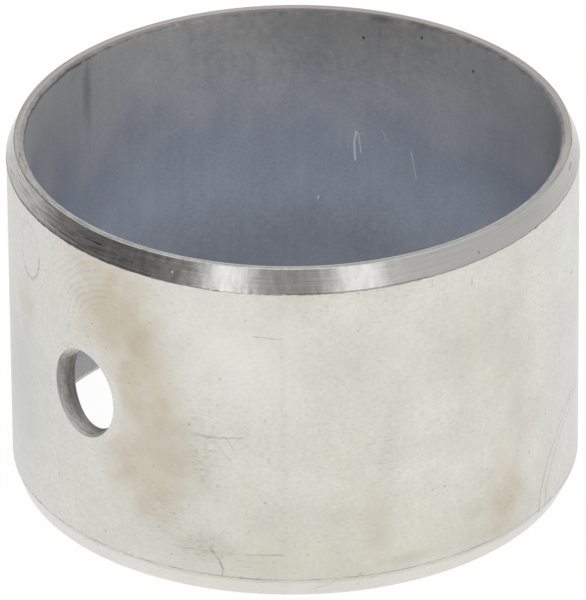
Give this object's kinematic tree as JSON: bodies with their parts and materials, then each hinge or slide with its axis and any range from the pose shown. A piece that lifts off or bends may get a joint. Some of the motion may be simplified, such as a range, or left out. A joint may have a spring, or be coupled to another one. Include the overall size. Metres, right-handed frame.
{
  "type": "plain bushing",
  "caption": "Thin-walled cylindrical steel bush with a lined bore, long lead-in chamfers and a radial oil hole; pressed into a housing to carry a turning shaft.",
  "frame": {"origin": "centre of the bore in the plane of the lower end face", "axes": "+Z along the bore axis, -Y out through the oil hole"},
  "size_m": [0.06, 0.06, 0.0385],
  "materials": {
    "bushing": "tin-flashed steel outside, bare turned chamfers and end faces, matt grey bearing lining inside"
  },
  "bodies": {
    "root": {"bushing": "bushing"}
  },
  "joints": []
}
